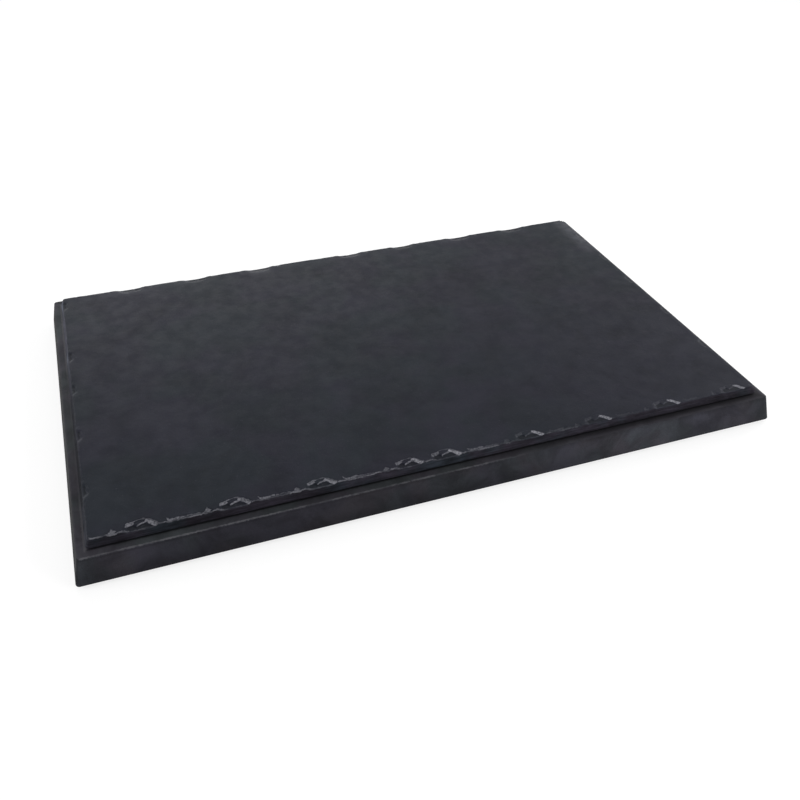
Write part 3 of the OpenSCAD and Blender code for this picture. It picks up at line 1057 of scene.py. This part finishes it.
def side_material(settings):
    """The split sides of the slate: darker and duller, in thin uneven layers, with painted light on the left
    side, painted shade along the foot and a painted highlight on the upper edge.
    """
    n = Nodes("Split slate sides")
    base = tuple(settings.side)
    layers = n.ramp(n.noise(700, 4, 0.6, (0.12, 0.12, 1.6)), 0.3, 0.7, 0.6, 1.35)
    patches = n.ramp(n.noise(34, 4, 0.6, offset=(2, 2, 5)), 0.35, 0.65, 0.7, 1.3)
    hue = n.ramp(n.noise(24, 3, offset=(6, 3, 0)), 0.42, 0.6)
    tint = n.tints(hue, base, (0.88, 1.02, 1.04), (1.13, 0.95, 1.04))
    # Painted light: the left side, where light falls, in a plainer grey and lighter.
    tint = n.mix(n.product(n.value("left"), 0.8), tint, scaled(base, 1, (1.0, 1.0, 0.98)))
    colour = n.shaded(tint, layers, patches, n.value("painted_light_shade"))
    ragged = n.ragged(520, 0.3)
    # Painted shade: the side darkened towards the plate's foot, in a taller band on the right but less dark
    # there.
    gap = n.ramp(n.distance("foot", ragged), 0.5, 2.0, 1, 0)
    gap = n.product(gap, n.ramp(n.value("right"), 0, 1, 0.52, 0.42))
    colour = n.mix(gap, colour, scaled(base, 0.12))
    # Upper edge: partly the paler broken edge, partly a painted highlight.
    rim = broken_rim(n, ragged, n.ramp(n.value("hood"), -0.2, 0.4, 1, 0.2), 0.1, 0.4)
    colour = n.mix(rim, colour, tuple(settings.pale))
    steps = n.bump(n.noise(900, 4, 0.65, (0.15, 0.15, 1.5)), 0.3 * MM, 0.7)
    fine = n.bump(n.noise(1600, 3, 0.7), 0.06 * MM, 0.6, steps)
    return n.finish(colour, n.ramp(n.noise(300, 3), 0.3, 0.7, 0.75, 0.9), fine, 0.06)


def edge_wear_and_highlight(n, colour, ragged, wear_and_highlight):
    """The colour with a line along the plinth's upper edge: partly wear, partly a painted highlight."""
    line = n.ramp(n.distance("rim", ragged), 0.4, 0.8, 1, 0)
    broken = n.ramp(n.noise(120, 4, 0.7), 0.38, 0.6, 0.3, 1)
    return n.mix(n.product(line, broken, n.value("fade")), colour, wear_and_highlight)


def moulding_material(settings):
    """Matt moulding: fine even grain, faint smudges, painted light and shade on the walls, and upper edges
    with wear and a painted highlight.
    """
    n = Nodes("Charcoal moulding")
    base = tuple(settings.colour)
    brown = n.ramp(n.noise(26, 3, offset=(2, 8, 1)), 0.42, 0.6)
    tint = n.tints(brown, base, (0.95, 1.02, 0.99), (1.06, 0.985, 0.985))
    violet = n.ramp(n.noise(19, 3, offset=(7, 3, 4)), 0.46, 0.62, 0, 0.8)
    tint = n.mix(violet, tint, scaled(base, 1, (1.0, 0.965, 1.06)))
    smudge = n.ramp(n.noise(38, 5, 0.6, distortion=0.8), 0.3, 0.72, 0.72, 1.42)
    grain = n.ramp(n.noise(1900, 2, 0.6), 0.3, 0.7, 0.85, 1.15)
    # Painted light and shade on the walls, and darker towards the bottom.
    colour = n.shaded(tint, smudge, grain, n.value("low"))
    ragged = n.ragged(600, 0.35)
    rim = n.distance("rim", ragged)
    # Painted shade: a darker band just under the painted highlight on the upper edge.
    below = n.product(n.ramp(rim, 0.9, 1.4), n.ramp(rim, 1.8, 2.8, 1, 0), n.value("fade"), 0.4)
    # The upper edge: partly wear, partly a painted highlight.
    colour = edge_wear_and_highlight(n, n.mix(below, colour, scaled(base, 0.3)), ragged, tuple(settings.wear_and_highlight))
    rough = n.ramp(n.noise(60, 4, 0.6, offset=(1, 2, 3)), 0.3, 0.7, 0.6, 0.76)
    orange = n.bump(n.noise(420, 3, 0.5), 0.08 * MM, 0.4)
    fine = n.bump(n.noise(1900, 2, 0.6), 0.04 * MM, 0.5, orange)
    return n.finish(colour, rough, fine, 0.06)


def ledge_material(settings):
    """The plinth's top face: duller, and lighter than the walls by painted light, with painted shade along
    the foot of the plate and on the right, and a painted light line along the foot on the left.
    """
    n = Nodes("Ledge of the moulding")
    base, wear_and_highlight = tuple(settings.ledge), tuple(settings.wear_and_highlight)
    right = n.value("right")
    hue = n.larger(n.ramp(n.noise(30, 3, offset=(4, 1, 2)), 0.4, 0.62), right)
    tint = n.tints(hue, base, (0.93, 1.01, 1.02), (1.04, 0.97, 1.1))
    smudge = n.ramp(n.noise(45, 5, 0.6, distortion=0.8), 0.3, 0.72, 0.75, 1.25)
    # Painted light: the ledge lighter towards its outer edge on the right.
    painted_outer_light = n.maths("ADD", n.product(n.ramp(n.value("rim"), 0.6, 3.6, 1, 0), right, 0.5), 1.0)
    ragged = n.ragged(600, 0.35)
    # The upper edge: partly wear, partly a painted highlight.
    colour = edge_wear_and_highlight(n, n.shaded(tint, smudge, n.value("painted_light_shade"), painted_outer_light), ragged, wear_and_highlight)
    foot = n.distance("foot", ragged)
    # Painted light: a light line along the plate's foot on the left ledge, in the colour of the edge wear.
    colour = n.mix(n.product(n.ramp(foot, 0.6, 2.0, 1, 0), n.value("lit")), colour, wear_and_highlight)
    # Painted shade: a dark line along the plate's foot, none on the left and weaker to the right.
    line = n.product(n.ramp(n.value("left"), 0, 1, 0.55, 0), n.ramp(right, 0, 1, 1, 0.1))
    colour = n.mix(n.product(n.ramp(foot, 0.1, 0.9, 1, 0), line), colour, scaled(base, 0.08))
    # Painted shade: a broad dark band in front of the plate on the right.
    colour = n.mix(n.product(n.ramp(foot, 0.8, 4.5, 1, 0), right, 0.5), colour, scaled(base, 0.2))
    rough = n.ramp(n.noise(60, 4, 0.6, offset=(1, 2, 3)), 0.3, 0.7, 0.6, 0.75)
    return n.finish(colour, rough, n.bump(n.noise(1900, 2, 0.6), 0.05 * MM, 0.6), 0.05)


def rubber_material(settings):
    """Soft black rubber with a little dust."""
    n = Nodes("Foot rubber")
    base = tuple(settings.colour)
    dust = n.ramp(n.noise(700, 5, 0.7), 0.5, 0.75, 0, 0.35)
    colour = n.mix(dust, base, scaled(base, 4.5))
    rough = n.ramp(n.noise(400, 3), 0.3, 0.7, 0.62, 0.8)
    return n.finish(colour, rough, n.bump(n.noise(2200, 2), 0.03 * MM, 0.6), 0.3)


def bead_material(settings):
    """Cured adhesive: grey, slightly uneven and a little glossy."""
    n = Nodes("Cured adhesive")
    base = tuple(settings.bead)
    colour = n.mix(n.ramp(n.noise(160, 4), 0.35, 0.65), scaled(base, 0.85), scaled(base, 1.1))
    rough = n.ramp(n.noise(220, 3), 0.3, 0.7, 0.32, 0.5)
    return n.finish(colour, rough, n.bump(n.noise(300, 3), 0.2 * MM, 0.5), 0.5)


# The stage

# Side of the floor
FLOOR_SIZE = 12
# Grey of the floor and its own glow, where the camera sees it: together they read as white paper
PAPER, GLOW = 0.3, 0.76
# Distances from the middle between which the floor turns into pure white
FADE = (0.7, 1.6)
# Strength of the light from all round, and of the white that the camera sees
SKY = (0.32, 1.0)
# Soft square lamps that point at the middle of the board: name, place, size and power
LAMPS = (
    ("Back", (0, 2.2, 1.1), 2.0, 30.4),
    ("Front right", (1.3, -1.3, 0.47), 0.9, 22.2),
    ("Left", (-1.7, 0, 0.8), 0.9, 17.7),
    ("Right", (1.8, 0.4, 1.0), 1.0, 18.8),
    ("Back right", (1.7, 1.9, 1.1), 0.5, 3.9),
)


def seen_directly(tree):
    """1 for rays of the camera, also by way of gloss or glass, and 0 for light that bounces."""
    path = add_node(tree, "LightPath", {})
    seen = path.outputs["Is Camera Ray"]
    for name in ("Is Glossy Ray", "Is Transmission Ray"):
        seen = add_node(tree, "Math", {0: seen, 1: path.outputs[name]}, operation="MAXIMUM")
    return seen


def backdrop_material(settings):
    """A pale floor that reads as white paper, takes the shadow and runs out into the white all round."""
    material = bpy.data.materials.new("Pale floor")
    tree, surface = blank_tree(material, "OutputMaterial")
    bounce = add_node(tree, "BsdfDiffuse", {"Color": (*settings.floor, 1)})
    shadow = add_node(tree, "BsdfDiffuse", {"Color": (PAPER, PAPER, PAPER, 1)})
    glow = add_node(tree, "Emission", {"Strength": GLOW})
    paper = add_node(tree, "AddShader", {0: shadow, 1: glow})
    place = add_node(tree, "TexCoord", {}).outputs["Object"]
    distance = add_node(tree, "VectorMath", {0: place}, operation="LENGTH").outputs["Value"]
    fade = {"Value": distance, "From Min": FADE[0], "From Max": FADE[1]}
    fade = add_node(tree, "MapRange", fade, interpolation_type="SMOOTHSTEP")
    seen = add_node(tree, "MixShader", {0: fade, 1: paper, 2: add_node(tree, "Emission", {})})
    feed(tree, add_node(tree, "MixShader", {0: seen_directly(tree), 1: bounce, 2: seen}), surface)
    return material


def make_world():
    """Soft even light from all round, seen as white."""
    world = bpy.data.worlds.new("Studio")
    tree, surface = blank_tree(world, "OutputWorld")
    white = (1, 1, 1, 1)
    light, seen = (add_node(tree, "Background", {"Color": white, "Strength": level}) for level in SKY)
    feed(tree, add_node(tree, "MixShader", {0: seen_directly(tree), 1: light, 2: seen}), surface)
    bpy.context.scene.world = world


def make_lamp(name, place, size, power):
    """A soft square lamp that points at the middle of the board."""
    data = bpy.data.lights.new(name, "AREA")
    data.shape, data.size, data.energy = "SQUARE", size, power
    lamp = bpy.data.objects.new(name, data)
    lamp.location = place
    lamp.rotation_euler = (-Vector(place)).to_track_quat("-Z", "Y").to_euler()
    bpy.context.scene.collection.objects.link(lamp)


def make_camera(settings):
    """The camera, from the photograph's viewpoint."""
    data = bpy.data.cameras.new("Camera")
    data.lens, data.sensor_width, data.shift_x = settings.lens, 36, settings.shift
    data.clip_start, data.clip_end = 0.01, 50
    camera = bpy.data.objects.new("Camera", data)
    forward, upward = Vector(settings.forward).normalized(), Vector(settings.upward).normalized()
    right = forward.cross(upward)
    turn = Matrix((right, upward, -forward)).transposed()
    camera.matrix_world = Matrix.Translation(settings.place) @ turn.to_4x4()
    bpy.context.scene.collection.objects.link(camera)
    bpy.context.scene.camera = camera


# Operators


def wear(piece, materials, slot, *nodes):
    """Gives a piece its materials and its body, and hides the nodes that it stands for. The slot argument is
    not used.
    """
    if not piece.data.polygons:
        raise RuntimeError(f"{piece.name} has no faces")
    for material in materials:
        piece.data.materials.append(material)
    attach(piece, "root")
    if nodes:
        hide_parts(*nodes)


class BOARD_OT_plate(bpy.types.Operator):
    """Builds the slate plate with its chipped edge"""

    bl_idname = "board.plate"
    bl_label = "Slate plate"

    def execute(self, context):
        settings = context.scene.board_plate
        looks = (slate_material(settings), side_material(settings))
        wear(make_plate(settings), looks, "slate", "slate_plate")
        return {"FINISHED"}


class BOARD_OT_plinth(bpy.types.Operator):
    """Builds the hollow plinth with its ribs and bosses"""

    bl_idname = "board.plinth"
    bl_label = "Plinth"

    def execute(self, context):
        settings = context.scene.board_plinth
        looks = (moulding_material(settings), ledge_material(settings))
        wear(make_plinth(settings), looks, "plinth", "plinth")
        return {"FINISHED"}


class BOARD_OT_feet(bpy.types.Operator):
    """Builds the four push-in feet"""

    bl_idname = "board.feet"
    bl_label = "Feet"

    def execute(self, context):
        settings = context.scene.board_feet
        looks = (rubber_material(settings),)
        for name in FEET:
            wear(make_foot(name, settings.sides), looks, "foot", name)
        return {"FINISHED"}


class BOARD_OT_bead(bpy.types.Operator):
    """Finishes the bead of adhesive under the plate"""

    bl_idname = "board.bead"
    bl_label = "Adhesive bead"

    def execute(self, context):
        look = bead_material(context.scene.board_feet)
        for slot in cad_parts["adhesive_bead"].material_slots:
            slot.material = look
        return {"FINISHED"}


class BOARD_OT_stage(bpy.types.Operator):
    """Sets the floor, the light and the camera"""

    bl_idname = "board.stage"
    bl_label = "Stage"

    def execute(self, context):
        settings = context.scene.board_stage
        context.scene.view_settings.view_transform = "Standard"
        bpy.ops.mesh.primitive_plane_add(size=FLOOR_SIZE, location=(0, 0, 0))
        floor = context.object
        floor.name = "Floor"
        floor.data.materials.append(backdrop_material(settings))
        make_world()
        for lamp in LAMPS:
            make_lamp(*lamp)
        make_camera(settings)
        return {"FINISHED"}


class BOARD_PT_panel(bpy.types.Panel):
    """Lists the board's pieces and their sizes and colours"""

    bl_label = "Serving board"
    bl_idname = "BOARD_PT_panel"
    bl_space_type = "VIEW_3D"
    bl_region_type = "UI"
    bl_category = "Board"

    def draw(self, context):
        for operator in STEPS:
            self.layout.operator(operator.bl_idname)
        for name, group in GROUPS.items():
            box = self.layout.box()
            for key in group.__annotations__:
                box.prop(getattr(context.scene, name), key)


STEPS = (BOARD_OT_plate, BOARD_OT_plinth, BOARD_OT_feet, BOARD_OT_bead, BOARD_OT_stage)
GROUPS = {
    "board_plate": PlateSettings,
    "board_plinth": PlinthSettings,
    "board_feet": FootSettings,
    "board_stage": StageSettings,
}


def register():
    """Registers the classes and hangs the settings on the scene."""
    for item in (*GROUPS.values(), *STEPS, BOARD_PT_panel):
        bpy.utils.register_class(item)
    for name, group in GROUPS.items():
        setattr(bpy.types.Scene, name, PointerProperty(type=group))


def unregister():
    """Takes the settings and classes away again."""
    for name in GROUPS:
        delattr(bpy.types.Scene, name)
    for item in reversed((*GROUPS.values(), *STEPS, BOARD_PT_panel)):
        bpy.utils.unregister_class(item)


def main():
    """Builds the whole board."""
    register()
    bpy.ops.board.plate()
    bpy.ops.board.plinth()
    bpy.ops.board.feet()
    bpy.ops.board.bead()
    bpy.ops.board.stage()


if __name__ == "__main__":
    main()
